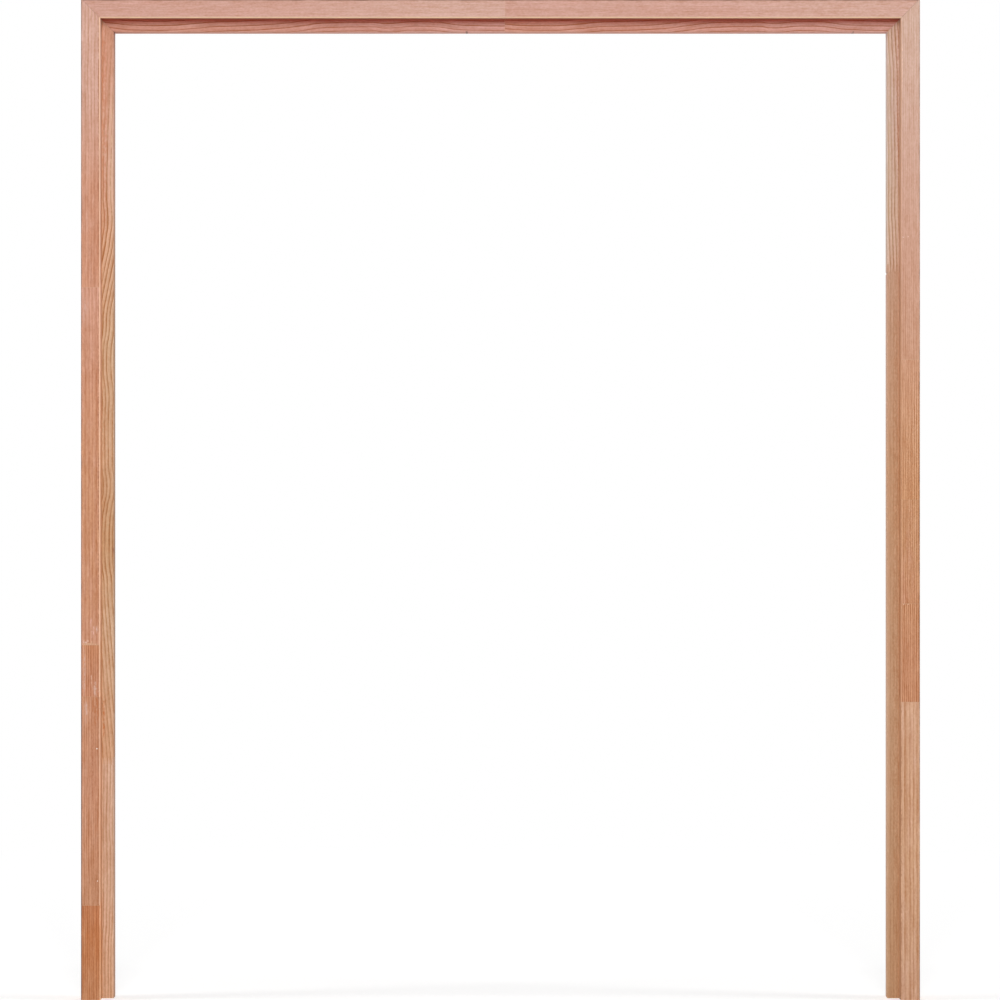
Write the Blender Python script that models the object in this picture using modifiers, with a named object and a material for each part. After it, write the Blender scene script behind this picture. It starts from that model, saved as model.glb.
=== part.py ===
"""Wooden frame for a pair of door leaves: two jambs and a head, mitred at the top corners.

Each member is two glued layers of finger-jointed softwood. The front layer ends at the rebate that
the leaves close into, and the wider layer behind it is the stop. Dowels and screws hold the mitres.
Metres, +Z up. The frame stands on z = 0, centred on the origin, with its front towards -Y.
"""

import math
from typing import NamedTuple

import bmesh
import bpy
from mathutils import Matrix, Vector

# Door leaves that close into the rebate, and the gaps round them
LEAF_WIDTH = 0.830
LEAF_HEIGHT = 2.040
HINGE_SIDE_GAP = 0.0035
MEETING_GAP = 0.003
HEAD_GAP = 0.003
FLOOR_GAP = 0.006

# Section of a member
FACE_WIDTH = 0.040
FACE_THICKNESS = 0.044
STOP_STAND = 0.025
STOP_THICKNESS = 0.044
ARRIS_RADIUS = 0.002
ARRIS_SEGMENTS = 3

# Glue lines and finger joints
GLUE_LINE = 0.0003
FINGER_LENGTH = 0.015
FINGER_PITCH = 0.0038
FINGER_TIP = 0.0006
LEAST_SHOULDER = 0.003
SHORTEST_BLOCK = 0.090

# Fluted dowels across each mitre
DOWEL_RADIUS = 0.004
DOWEL_COVER = 0.004
DOWEL_FLUTES = 12
FLUTE_DEPTH = 0.0004
DOWEL_CHAMFER = 0.001
DOWEL_END_GAP = 0.0008

# Countersunk screws, driven down through the head into each jamb
SCREW_LENGTH = 0.080
SCREW_RADIUS = 0.0025
SCREW_HEAD_RADIUS = 0.005
SCREW_HEAD_RIM = 0.0008
SCREW_POINT_LENGTH = 0.008
SCREW_POINT_RADIUS = 0.0004
SCREW_STEPS = 20
SCREW_SINK = 0.0005
DRIVE_RADIUS = 0.0021
DRIVE_LOBE = 0.0004
DRIVE_LOBES = 6
DRIVE_DEPTH = 0.002
POINTS_PER_LOBE = 6

# Room between a fixing and its hole
FIXING_CLEARANCE = 0.0003

# How far a cutter runs past what it cuts
CUTTER_OVERRUN = 0.010

# A chip out of the right stop's doorway edge, and nicks in the lower edge of the head's stop
CHIP_RADIUS = 0.0035
CHIP_DEPTH = 0.0016
CHIP_HEIGHT = 1.519
NICK_RADIUS = 0.003
NICK_DEPTH = 0.0014
NICK_PLACES = (0.802, 1.615)

REBATE_WIDTH = 2 * LEAF_WIDTH + 2 * HINGE_SIDE_GAP + MEETING_GAP
REBATE_HEIGHT = LEAF_HEIGHT + HEAD_GAP + FLOOR_GAP
FRAME_WIDTH = REBATE_WIDTH + 2 * FACE_WIDTH
FRAME_HEIGHT = REBATE_HEIGHT + FACE_WIDTH
STOP_WIDTH = FACE_WIDTH + STOP_STAND
FRAME_DEPTH = FACE_THICKNESS + STOP_THICKNESS
FRONT_Y = -FRAME_DEPTH / 2
GLUE_Y = FRONT_Y + FACE_THICKNESS
BACK_Y = FRAME_DEPTH / 2

# Tones of the wood and the fixings, as sRGB in 0 to 255
ROSE = (208, 154, 130)
PINK = (211, 167, 146)
TAN = (205, 157, 128)
BEIGE = (203, 160, 134)
ORANGE_TAN = (200, 144, 112)
ORANGE_BROWN = (189, 129, 95)
RED_ORANGE = (196, 128, 98)
RED_BROWN = (188, 124, 106)
DOWEL_BEECH = (201, 170, 128)
YELLOW_ZINC = (196, 186, 150)

# Blocks of each layer: the height of the joint under the block, and the block's tone
LEFT_FACE_BLOCKS = ((0.0, ORANGE_BROWN), (0.198, TAN), (0.633, ORANGE_TAN), (0.741, TAN), (1.487, ROSE))
LEFT_STOP_BLOCKS = ((0.0, TAN), (0.489, ORANGE_TAN))
RIGHT_FACE_BLOCKS = ((0.0, BEIGE), (0.622, RED_ORANGE), (0.827, TAN), (1.044, ORANGE_TAN), (1.336, PINK))
RIGHT_STOP_BLOCKS = ((0.0, TAN), (1.522, BEIGE))

# The same along the head, measured from its left end
HEAD_FACE_BLOCKS = ((0.0, ROSE), (0.884, PINK))
HEAD_STOP_BLOCKS = ((0.0, RED_BROWN), (0.884, RED_BROWN))


class Layer(NamedTuple):
    """One glued layer of a member: its width from the wall side, and its depth from front to back."""

    width: float
    front: float
    back: float
    arrises: tuple


FACE_LAYER = Layer(
    width=FACE_WIDTH,
    front=FRONT_Y,
    back=GLUE_Y - GLUE_LINE / 2,
    arrises=((0.0, FRONT_Y), (FACE_WIDTH, FRONT_Y)),
)
STOP_LAYER = Layer(
    width=STOP_WIDTH,
    front=GLUE_Y + GLUE_LINE / 2,
    back=BACK_Y,
    arrises=((STOP_WIDTH, GLUE_Y + GLUE_LINE / 2), (STOP_WIDTH, BACK_Y), (0.0, BACK_Y)),
)


def clear_scene():
    for item in list(bpy.data.objects):
        bpy.data.objects.remove(item, do_unlink=True)


def new_collection(name):
    collection = bpy.data.collections.new(name)
    bpy.context.scene.collection.children.link(collection)
    return collection


def linear(level):
    """Linear value of one sRGB channel in 0 to 255."""
    share = level / 255
    return share / 12.92 if share <= 0.04045 else ((share + 0.055) / 1.055) ** 2.4


def plain_material(name, tone, roughness, metallic=0.0):
    material = bpy.data.materials.new(name)
    material.use_nodes = True
    shader = material.node_tree.nodes["Principled BSDF"]
    shader.inputs["Base Color"].default_value = (*map(linear, tone), 1.0)
    shader.inputs["Roughness"].default_value = roughness
    shader.inputs["Metallic"].default_value = metallic
    return material


def softwood(name, tone):
    return plain_material(name + "_softwood", tone, roughness=0.62)


def move_into(collection, item):
    for linked in list(item.users_collection):
        linked.objects.unlink(item)
    collection.objects.link(item)


def solid_from_outline(name, points, thickness, placement, collection):
    """A flat outline extruded by half its thickness to each side, as one closed mesh. Each cap is made
    one face again, so that a bevel beside it keeps to the outline's own edges."""
    outline = bpy.data.curves.new(name + "_outline", "CURVE")
    outline.dimensions = "2D"
    outline.fill_mode = "BOTH"
    outline.extrude = thickness / 2
    spline = outline.splines.new("POLY")
    spline.points.add(len(points) - 1)
    for spline_point, (across, along) in zip(spline.points, points):
        spline_point.co = (across, along, 0.0, 1.0)
    spline.use_cyclic_u = True
    guide = bpy.data.objects.new(name + "_outline", outline)
    guide.matrix_world = placement
    collection.objects.link(guide)
    graph = bpy.context.evaluated_depsgraph_get()
    mesh = bpy.data.meshes.new_from_object(guide.evaluated_get(graph))
    mesh.name = name
    shape = bmesh.new()
    shape.from_mesh(mesh)
    bmesh.ops.remove_doubles(shape, verts=shape.verts, dist=1e-6)
    caps = [face for face in shape.faces if abs(face.calc_center_median().z) > thickness / 4]
    bmesh.ops.dissolve_faces(shape, faces=caps)
    bmesh.ops.recalc_face_normals(shape, faces=shape.faces)
    shape.to_mesh(mesh)
    shape.free()
    solid = bpy.data.objects.new(name, mesh)
    solid.matrix_world = guide.matrix_world
    collection.objects.link(solid)
    bpy.data.objects.remove(guide)
    return solid


def turned_solid(name, profile, location, collection):
    """A profile of (radius, height) points, listed from top to bottom, turned about +Z."""
    mesh = bpy.data.meshes.new(name)
    points = [(radius, 0.0, height) for radius, height in profile]
    mesh.from_pydata(points, [(i, i + 1) for i in range(len(points) - 1)], [])
    solid = bpy.data.objects.new(name, mesh)
    solid.location = location
    collection.objects.link(solid)
    turning = solid.modifiers.new("turned", "SCREW")
    turning.steps = SCREW_STEPS
    turning.render_steps = SCREW_STEPS
    turning.use_merge_vertices = True
    turning.merge_threshold = 1e-5
    return solid


def as_cutter(solid):
    solid.hide_render = True
    solid.display_type = "WIRE"
    return solid


def cut(solid, cutters):
    for cutter in cutters:
        boolean = solid.modifiers.new("cut_" + cutter.name, "BOOLEAN")
        boolean.operation = "DIFFERENCE"
        boolean.solver = "EXACT"
        boolean.object = cutter


def finger_line(width, level):
    """Points of a finger joint across a layer: from a low shoulder at level to a high one."""
    half_pitch = FINGER_PITCH / 2
    flank = half_pitch - FINGER_TIP
    flank_count = max(1, int((width - 2 * LEAST_SHOULDER) / half_pitch))
    flank_count -= 1 - flank_count % 2
    across = (width - flank_count * half_pitch) / 2
    points = [(0.0, level), (across, level)]
    for turn in range(1, flank_count + 1):
        height = level + FINGER_LENGTH * (turn % 2)
        points.append((across + flank, height))
        across += half_pitch
        points.append((across, height))
    points[-1] = (width, level + FINGER_LENGTH)
    return points


def block_outline(width, lower, upper, length):
    """Outline of a block: square at the member's own ends, fingers where it meets the next block."""
    start = [(0.0, 0.0), (width, 0.0)]
    if lower > 0.0:
        start = finger_line(width, lower + GLUE_LINE / 2)
    end = [(0.0, length), (width, length)]
    if upper < length:
        end = finger_line(width, upper - GLUE_LINE / 2)
    return start + end[::-1]


def ease_arrises(block, arrises):
    """Rounds the long edges that lie at these (x, y) places of the member's section."""
    shape = bmesh.new()
    shape.from_mesh(block.data)
    weight = shape.edges.layers.float.new("bevel_weight_edge")
    for edge in shape.edges:
        start, end = (block.matrix_world @ vertex.co for vertex in edge.verts)
        for place in arrises:
            if max(math.dist(start.xy, place), math.dist(end.xy, place)) < GLUE_LINE / 2:
                edge[weight] = 1.0
    shape.to_mesh(block.data)
    shape.free()
    rounding = block.modifiers.new("eased_arris", "BEVEL")
    rounding.limit_method = "WEIGHT"
    rounding.width = ARRIS_RADIUS
    rounding.segments = ARRIS_SEGMENTS


def block_solid(name, layer, hand, span, fingers_on_front, collection):
    """One block, upright at the origin, with its wall side on x = 0 and its fingers seen from the front
    or from the sides. Hand is 1 where the doorway lies towards +X, and -1 where it lies towards -X."""
    depth = layer.back - layer.front
    upright = Matrix.Rotation(math.pi / 2, 4, "X")
    if fingers_on_front:
        outline = [(hand * across, along) for across, along in block_outline(layer.width, *span)]
        placement = Matrix.Translation((0, layer.front + depth / 2, 0)) @ upright
        block = solid_from_outline(name, outline, depth, placement, collection)
    else:
        outline = block_outline(depth, *span)
        side_on = Matrix.Rotation(math.pi / 2, 4, "Z") @ upright
        placement = Matrix.Translation((hand * layer.width / 2, layer.front, 0)) @ side_on
        block = solid_from_outline(name, outline, layer.width, placement, collection)
    ease_arrises(block, [(hand * x, y) for x, y in layer.arrises])
    return block


def glued_layer(name, layer, hand, length, blocks, fingers_on_front, member, collection):
    """All blocks of one layer, listed from the start of the member, and parented to it.
    A joint that a shorter member has no room for is left out."""
    room = length - layer.width - SHORTEST_BLOCK
    kept = [block for block in blocks if block[0] < room]
    ends = [lower for lower, _ in kept[1:]] + [length]
    made = []
    for number, ((lower, tone), upper) in enumerate(zip(kept, ends), start=1):
        block_name = f"{name}_block_{number}"
        span = (lower, upper, length)
        block = block_solid(block_name, layer, hand, span, fingers_on_front, collection)
        block.data.materials.append(softwood(block_name, tone))
        block.parent = member
        made.append(block)
    return made


def member_empty(name, location, angle, collection):
    empty = bpy.data.objects.new(name, None)
    empty.location = location
    empty.rotation_euler = (0, angle, 0)
    collection.objects.link(empty)
    return empty


def mitre_cutter(name, corner, along, away, collection):
    """A box for all that lies past the mitre on one side, and half a glue line before it."""
    side = 2 * math.sqrt(2) * STOP_WIDTH + 2 * CUTTER_OVERRUN
    middle = corner + along * STOP_WIDTH / math.sqrt(2)
    bpy.ops.mesh.primitive_cube_add(size=1.0, location=middle + away * (side - GLUE_LINE) / 2)
    box = bpy.context.object
    box.name = name
    box.scale = (side, FRAME_DEPTH + 2 * CUTTER_OVERRUN, side)
    box.rotation_euler = (0, math.pi / 4, 0)
    move_into(collection, box)
    return as_cutter(box)


def dowel_outline():
    """A round with pressed flutes, as points round the dowel."""
    points = []
    for step in range(2 * DOWEL_FLUTES):
        angle = math.pi * step / DOWEL_FLUTES
        radius = DOWEL_RADIUS - FLUTE_DEPTH * (step % 2)
        points.append((radius * math.cos(angle), radius * math.sin(angle)))
    return points


def dowel_half_length(offset):
    """Reach of a dowel to each side of the mitre, where it crosses it this far from the wall side."""
    return (offset - DOWEL_COVER) * math.sqrt(2) - DOWEL_RADIUS


def fluted_dowel(name, centre, lean, half_length, collection):
    placement = Matrix.Translation(centre) @ Matrix.Rotation(lean, 4, "Y")
    dowel = solid_from_outline(name, dowel_outline(), 2 * half_length, placement, collection)
    dowel.data.materials.append(plain_material(name + "_beech", DOWEL_BEECH, roughness=0.6))
    chamfer = dowel.modifiers.new("chamfered_ends", "BEVEL")
    chamfer.limit_method = "ANGLE"
    chamfer.angle_limit = math.radians(80)
    chamfer.width = DOWEL_CHAMFER
    chamfer.segments = 1
    return dowel


def dowel_hole(name, centre, lean, half_length, collection):
    bpy.ops.mesh.primitive_cylinder_add(
        vertices=2 * DOWEL_FLUTES,
        radius=DOWEL_RADIUS + FIXING_CLEARANCE,
        depth=2 * (half_length + DOWEL_END_GAP),
        location=centre,
        rotation=(0, lean, 0),
    )
    hole = bpy.context.object
    hole.name = name
    move_into(collection, hole)
    return as_cutter(hole)


def screw_profile(clearance, rise):
    """Half section of a countersunk screw, widened by a clearance, its top face at this rise."""
    head = SCREW_HEAD_RADIUS + clearance
    shank = SCREW_RADIUS + clearance
    neck = -SCREW_HEAD_RIM - (SCREW_HEAD_RADIUS - SCREW_RADIUS)
    return [
        (0.0, rise),
        (head, rise),
        (head, -SCREW_HEAD_RIM),
        (shank, neck),
        (shank, -SCREW_LENGTH + SCREW_POINT_LENGTH),
        (SCREW_POINT_RADIUS + clearance, -SCREW_LENGTH - clearance),
        (0.0, -SCREW_LENGTH - clearance),
    ]


def drive_outline():
    """A six-lobed recess for the driver bit, as points round it."""
    count = DRIVE_LOBES * POINTS_PER_LOBE
    points = []
    for step in range(count):
        angle = 2 * math.pi * step / count
        radius = DRIVE_RADIUS + DRIVE_LOBE * math.cos(DRIVE_LOBES * angle)
        points.append((radius * math.cos(angle), radius * math.sin(angle)))
    return points


def frame_screw(name, top, parts, cutters):
    screw = turned_solid(name, screw_profile(0.0, 0.0), top, parts)
    screw.data.materials.append(plain_material(name + "_zinc", YELLOW_ZINC, roughness=0.35, metallic=1.0))
    placement = Matrix.Translation(top)
    drive = solid_from_outline(name + "_drive", drive_outline(), 2 * DRIVE_DEPTH, placement, cutters)
    cut(screw, [as_cutter(drive)])
    return screw


def screw_hole(name, top, cutters):
    return as_cutter(turned_solid(name, screw_profile(FIXING_CLEARANCE, CUTTER_OVERRUN), top, cutters))


def corner_fixings(side, hand, parts, cutters):
    """Dowels and screws of one corner. Returns the cutters of the face layer's and the stop layer's holes."""
    corner = Vector((-hand * FRAME_WIDTH / 2, 0, FRAME_HEIGHT))
    along = Vector((hand, 0, -1))
    lean = hand * math.pi / 4
    face_offset = FACE_WIDTH / 2
    stop_offsets = (STOP_WIDTH / 3, 2 * STOP_WIDTH / 3)
    half_length = dowel_half_length(min(face_offset, *stop_offsets))
    holes = {"face": [], "stop": []}
    places = [("face", FACE_LAYER, face_offset)] + [("stop", STOP_LAYER, offset) for offset in stop_offsets]
    for number, (layer_name, layer, offset) in enumerate(places, start=1):
        third = (layer.back - layer.front) / 3
        centre = corner + along * offset + Vector((0, layer.front + third, 0))
        name = f"{side}_corner_dowel_{number}"
        fluted_dowel(name, centre, lean, half_length, parts)
        holes[layer_name].append(dowel_hole(name + "_hole", centre, lean, half_length, cutters))
    for layer_name, layer in (("face", FACE_LAYER), ("stop", STOP_LAYER)):
        third = (layer.back - layer.front) / 3
        top = corner + Vector((hand * layer.width / 2, layer.front + 2 * third, -SCREW_SINK))
        name = f"{side}_{layer_name}_screw"
        frame_screw(name, top, parts, cutters)
        holes[layer_name].append(screw_hole(name + "_hole", top, cutters))
    return holes


def corner_mitres(side, hand, cutters):
    """Cutters that trim the jamb's top and the head's end to the mitre of one corner."""
    corner = Vector((-hand * FRAME_WIDTH / 2, 0, FRAME_HEIGHT))
    along = Vector((hand, 0, -1))
    along.normalize()
    to_head = Vector((hand, 0, 1))
    to_head.normalize()
    jamb_trim = mitre_cutter(f"{side}_jamb_mitre", corner, along, to_head, cutters)
    head_trim = mitre_cutter(f"{side}_head_mitre", corner, along, -to_head, cutters)
    return jamb_trim, head_trim


def edge_chip(name, cutters):
    """Rod that takes a shallow hollow out of the right stop's doorway edge, from front to back."""
    bpy.ops.mesh.primitive_cylinder_add(
        vertices=16,
        radius=CHIP_RADIUS,
        depth=2 * FRAME_DEPTH,
        location=(FRAME_WIDTH / 2 - STOP_WIDTH - CHIP_RADIUS + CHIP_DEPTH, 0, CHIP_HEIGHT),
        rotation=(math.pi / 2, 0, 0),
    )
    rod = bpy.context.object
    rod.name = name
    move_into(cutters, rod)
    return as_cutter(rod)


def edge_nick(name, along_head, cutters):
    """Ball that takes a small hollow out of the front arris of the head's stop, over the doorway."""
    inset = NICK_RADIUS - NICK_DEPTH
    edge = Vector((along_head - FRAME_WIDTH / 2, STOP_LAYER.front, FRAME_HEIGHT - STOP_WIDTH))
    bpy.ops.mesh.primitive_uv_sphere_add(
        segments=12,
        ring_count=8,
        radius=NICK_RADIUS,
        location=edge - Vector((0, inset, inset)) / math.sqrt(2),
    )
    ball = bpy.context.object
    ball.name = name
    move_into(cutters, ball)
    return as_cutter(ball)


def build_frame():
    clear_scene()
    parts = new_collection("wooden_door_frame")
    cutters = new_collection("cutters")

    left_jamb = member_empty("left_jamb", (-FRAME_WIDTH / 2, 0, 0), 0.0, parts)
    right_jamb = member_empty("right_jamb", (FRAME_WIDTH / 2, 0, 0), 0.0, parts)
    head = member_empty("head", (-FRAME_WIDTH / 2, 0, FRAME_HEIGHT), math.pi / 2, parts)

    layers = {}
    for name, layer, hand, length, blocks, on_front, member in (
        ("left_jamb_face", FACE_LAYER, 1, FRAME_HEIGHT, LEFT_FACE_BLOCKS, False, left_jamb),
        ("left_jamb_stop", STOP_LAYER, 1, FRAME_HEIGHT, LEFT_STOP_BLOCKS, True, left_jamb),
        ("right_jamb_face", FACE_LAYER, -1, FRAME_HEIGHT, RIGHT_FACE_BLOCKS, False, right_jamb),
        ("right_jamb_stop", STOP_LAYER, -1, FRAME_HEIGHT, RIGHT_STOP_BLOCKS, True, right_jamb),
        ("head_face", FACE_LAYER, 1, FRAME_WIDTH, HEAD_FACE_BLOCKS, False, head),
        ("head_stop", STOP_LAYER, 1, FRAME_WIDTH, HEAD_STOP_BLOCKS, False, head),
    ):
        layers[name] = glued_layer(name, layer, hand, length, blocks, on_front, member, parts)

    for side, hand, head_block in (("left", 1, 0), ("right", -1, -1)):
        jamb_trim, head_trim = corner_mitres(side, hand, cutters)
        holes = corner_fixings(side, hand, parts, cutters)
        for layer_name in ("face", "stop"):
            cut(layers[f"{side}_jamb_{layer_name}"][-1], [jamb_trim, *holes[layer_name]])
            cut(layers[f"head_{layer_name}"][head_block], [head_trim, *holes[layer_name]])

    cut(layers["right_jamb_stop"][0], [edge_chip("right_stop_chip", cutters)])
    nicks = []
    for number, place in enumerate(NICK_PLACES, start=1):
        nicks.append(edge_nick(f"head_nick_{number}", place, cutters))
    for block in layers["head_stop"]:
        cut(block, nicks)


build_frame()
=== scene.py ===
import math

import bpy
from mathutils import Matrix, Vector


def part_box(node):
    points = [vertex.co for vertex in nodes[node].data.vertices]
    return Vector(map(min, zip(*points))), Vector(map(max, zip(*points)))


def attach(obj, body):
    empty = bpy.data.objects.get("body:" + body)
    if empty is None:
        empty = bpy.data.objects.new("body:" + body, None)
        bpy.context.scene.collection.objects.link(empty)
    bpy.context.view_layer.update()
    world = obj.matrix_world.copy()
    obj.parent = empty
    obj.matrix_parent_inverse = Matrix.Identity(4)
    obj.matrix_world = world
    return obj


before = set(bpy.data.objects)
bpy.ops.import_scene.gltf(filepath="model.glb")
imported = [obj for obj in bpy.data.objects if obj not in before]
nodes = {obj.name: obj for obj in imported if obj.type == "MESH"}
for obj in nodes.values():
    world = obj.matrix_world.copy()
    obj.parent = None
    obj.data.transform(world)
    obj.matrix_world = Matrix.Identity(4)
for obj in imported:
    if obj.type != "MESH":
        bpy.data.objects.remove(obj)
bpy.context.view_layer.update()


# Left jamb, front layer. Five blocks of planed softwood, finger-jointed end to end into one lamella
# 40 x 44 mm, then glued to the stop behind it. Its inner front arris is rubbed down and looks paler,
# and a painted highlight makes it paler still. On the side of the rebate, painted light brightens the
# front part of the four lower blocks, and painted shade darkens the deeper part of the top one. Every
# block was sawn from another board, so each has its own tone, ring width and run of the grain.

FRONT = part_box("left_jamb_face_block_1")[0].y
WALL_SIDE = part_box("left_jamb_face_block_1")[0].x
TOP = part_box("head_face_block_1")[1].z
FACE_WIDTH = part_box("left_jamb_face_block_1")[1].x - WALL_SIDE
STOP_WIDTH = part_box("left_jamb_stop_block_1")[1].x - WALL_SIDE
STOP_SET_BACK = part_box("left_jamb_stop_block_1")[0].y - FRONT

# How far the pith line lies from a section's middle, and over what depth the rings' figure fades
PITH_AWAY = 0.22
FIGURE_DEPTH = 0.032

# Widths and depths of the worn, highlit doorway arris, of the darker wall-side arris, of the painted
# light and shade on the sides, and of the painted shade in the inside corner
RUBBED_AND_HIGHLIT_WIDTH = 0.0026
RUBBED_AND_HIGHLIT_DEPTH = 0.009
WALL_ARRIS_DEPTH = 0.005
FACE_SIDE = 0.0008
STOP_SIDE = 0.0007
PAINTED_SHADE_DEPTH = 0.006

# Tints of the palest and darkest grain, and the tones of the darker wall-side arris and of end grain
PALE_GRAIN = (1.35, 1.58, 1.81)
DARK_GRAIN = (0.65, 0.42, 0.19)
WALL_ARRIS_TONE = (128, 92, 76)
END_GRAIN_TONE = (128, 84, 62)


def linear(tone):
    """An sRGB tone in 0 to 255 as the linear colour that a shader takes."""
    shares = [level / 255 for level in tone]
    return tuple(s / 12.92 if s <= 0.04045 else ((s + 0.055) / 1.055) ** 2.4 for s in shares) + (1.0,)


def grey(level):
    """A grey that takes a plain number through a colour ramp."""
    return (level, level, level, 1.0)


def set_stops(ramp, stops):
    """Give a colour ramp its stops, each a place from 0 to 1 and a colour."""
    ramp.elements.remove(ramp.elements[1])
    ramp.elements[0].position, ramp.elements[0].color = stops[0]
    for place, colour in stops[1:]:
        ramp.elements.new(place).color = colour


def set_bends(mapping, bends):
    """Give a float curve its points, each a place and a height from 0 to 1."""
    curve = mapping.curves[0]
    curve.points[0].location = bends[0]
    curve.points[1].location = bends[-1]
    for place, height in bends[1:-1]:
        curve.points.new(place, height)
    mapping.update()


class Strand:
    """One output in a material's nodes, so that shader maths reads as an expression."""

    def __init__(self, tree, output=None):
        self.tree = tree
        self.output = output

    def node(self, kind, settings, values, give=0):
        """The output called or numbered give, of a new node with these settings and sockets."""
        made = self.tree.nodes.new(kind)
        for name, value in settings.items():
            if name == "stops":
                set_stops(made.color_ramp, value)
            elif name == "bends":
                set_bends(made.mapping, value)
            else:
                setattr(made, name, value)
        for socket, value in values.items():
            if isinstance(value, Strand):
                self.tree.links.new(value.output, made.inputs[socket])
            else:
                made.inputs[socket].default_value = value
        return Strand(self.tree, made.outputs[give] if made.outputs else None)

    def maths(self, operation, *values, clamp=False):
        settings = {"operation": operation, "use_clamp": clamp}
        return self.node("ShaderNodeMath", settings, dict(enumerate(values)))

    def __add__(self, other):
        return self.maths("ADD", self, other)

    def __sub__(self, other):
        return self.maths("SUBTRACT", self, other)

    def __rsub__(self, other):
        return self.maths("SUBTRACT", other, self)

    def __mul__(self, other):
        return self.maths("MULTIPLY", self, other)

    def __truediv__(self, other):
        return self.maths("DIVIDE", self, other)

    __radd__ = __add__
    __rmul__ = __mul__

    def held(self):
        """This number, held between 0 and 1."""
        return self.maths("ADD", self, 0.0, clamp=True)

    def beyond(self, limit, fade):
        """0 up to a limit, and from there up to 1 over the length of the fade."""
        return ((self - limit) / fade).held()

    def within(self, limit, fade):
        """1, and down to 0 over the length of the fade that ends at a limit."""
        return ((limit - self) / fade).held()

    def size(self):
        return self.maths("ABSOLUTE", self)

    def root(self):
        return self.maths("SQRT", self)

    def fraction(self):
        return self.maths("FRACT", self)

    def ramp(self, stops):
        return self.node("ShaderNodeValToRGB", {"stops": stops}, {"Fac": self})

    def axis(self, letter):
        return self.node("ShaderNodeSeparateXYZ", {}, {"Vector": self}, give=letter)

    def tinted(self, tint):
        return self.node("ShaderNodeVectorMath", {"operation": "MULTIPLY"}, {0: self, 1: tint})

    def into(self, shader, socket):
        self.tree.links.new(self.output, shader.inputs[socket])


def mixed(share, first, second):
    """A blend of two colours, each a tone's linear colour or a strand."""
    values = {0: share, 6: first, 7: second}
    return share.node("ShaderNodeMix", {"data_type": "RGBA"}, values, give=2)


def noise(place, stretch, seed):
    """Noise stretched by (across, deep, along) features a metre, centred on 0 and about -1 to 1."""
    spot = place.node("ShaderNodeVectorMath", {"operation": "MULTIPLY_ADD"},
                      {0: place, 1: stretch, 2: (seed, 2.7 * seed, 1.9 * seed)})
    level = place.node("ShaderNodeTexNoise", {}, {"Vector": spot, "Scale": 1.0, "Detail": 2.0})
    return (level - 0.5) * 2.0


def new_material(name):
    """A material with its node tree and its Principled shader."""
    material = bpy.data.materials.new(name)
    material.use_nodes = True
    return material, material.node_tree, material.node_tree.nodes["Principled BSDF"]


def object_place(tree):
    return Strand(tree).node("ShaderNodeTexCoord", {}, {}, give="Object")


def dress(node, material):
    """Put a material on a CAD node in place of its own."""
    slots = nodes[node].data.materials
    slots.clear()
    slots.append(material)


def block_place(node, tree):
    """A point's place in its block, across from the wall side, in from the front and along the grain,
    and the block's length, all in metres."""
    low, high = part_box(node)
    start = object_place(tree)
    if node.startswith("head"):
        place = start.node("ShaderNodeMapping", {}, {
            "Vector": start, "Location": (TOP, -FRONT, -low.x), "Rotation": (0.0, -math.pi / 2, 0.0)})
        return place, high.x - low.x
    flip = 1.0 if node.startswith("left") else -1.0
    place = start.node("ShaderNodeMapping", {}, {
        "Vector": start, "Location": (-WALL_SIDE, -FRONT, -low.z), "Scale": (flip, 1.0, 1.0)})
    return place, high.z - low.z


def ring_drift(place, seed, wobble):
    """How far the rings stray from true circles, in wide bends, small bends and wobbles."""
    wide = noise(place, (3.0, 3.0, 5.0), seed) * wobble * 1.5
    small = noise(place, (20.0, 14.0, 16.0), seed + 7) * wobble
    return wide + small + noise(place, (70.0, 50.0, 60.0), seed + 8) * wobble * 0.5


def wandered(drift, share_along, length, wander):
    """The drift with the shift added that the rings make along the block, as its board was sawn."""
    shifts = [shift for _, shift in wander]
    least, most = min(shifts), max(shifts)
    if most == least:
        return drift
    bends = [(min(1.0, max(0.0, along / length)), (shift - least) / (most - least))
             for along, shift in wander]
    curve = share_along.node("ShaderNodeFloatCurve", {"bends": bends}, {"Value": share_along})
    return drift + curve * (most - least) + least


def growth_rings(reach, ring, uneven, summer, seed):
    """Growth rings by the distance from the pith, as a number with a mean of 0. Each goes from pale
    spring wood to the dark summer wood that ends it, which takes up this share of its width."""
    count = reach / ring
    years = count.node("ShaderNodeTexNoise", {"noise_dimensions": "1D"},
                       {"W": count * 0.45 + seed, "Scale": 1.0, "Detail": 1.0})
    count = count + (years - 0.5) * 2.0 * uneven
    levels = [(0.0, 0.12), (0.10, 0.0), (1.0 - summer, 0.16), (1.0 - 0.5 * summer, 0.62),
              (1.0 - 0.2 * summer, 1.0), (1.0, 0.30)]
    mean = sum((b[0] - a[0]) * (a[1] + b[1]) / 2 for a, b in zip(levels, levels[1:]))
    return count.fraction().ramp([(place, grey(level)) for place, level in levels]) - mean


def blushed(colour, grain_place, tone, share, seed):
    """A colour with patches of another tone in it, drawn out along the grain."""
    patch = noise(grain_place, (140.0, 90.0, 26.0), seed) * 1.2
    patch = (patch + noise(grain_place, (60.0, 60.0, 5.0), seed + 1.0) + 0.15).held()
    return mixed(patch * share, colour, linear(tone))


def marked(colour, x, z, thread, streak, fleck, cloud, marks):
    """A colour with soft marks in it, which the grain breaks into streaks."""
    broken = (0.40 + streak * 1.7 + fleck * 1.5 + thread * 0.6).held()
    for along, over, half_length, half_width, tone, share in marks:
        off_z = (z - along + cloud * (0.5 * half_length)) / half_length
        off_x = (x - over + streak * (0.4 * half_width)) / half_width
        near = 1.0 - (off_z * off_z + off_x * off_x)
        colour = mixed((near * 1.6).held() * broken * (1.3 * share), colour, linear(tone))
    return colour


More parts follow.
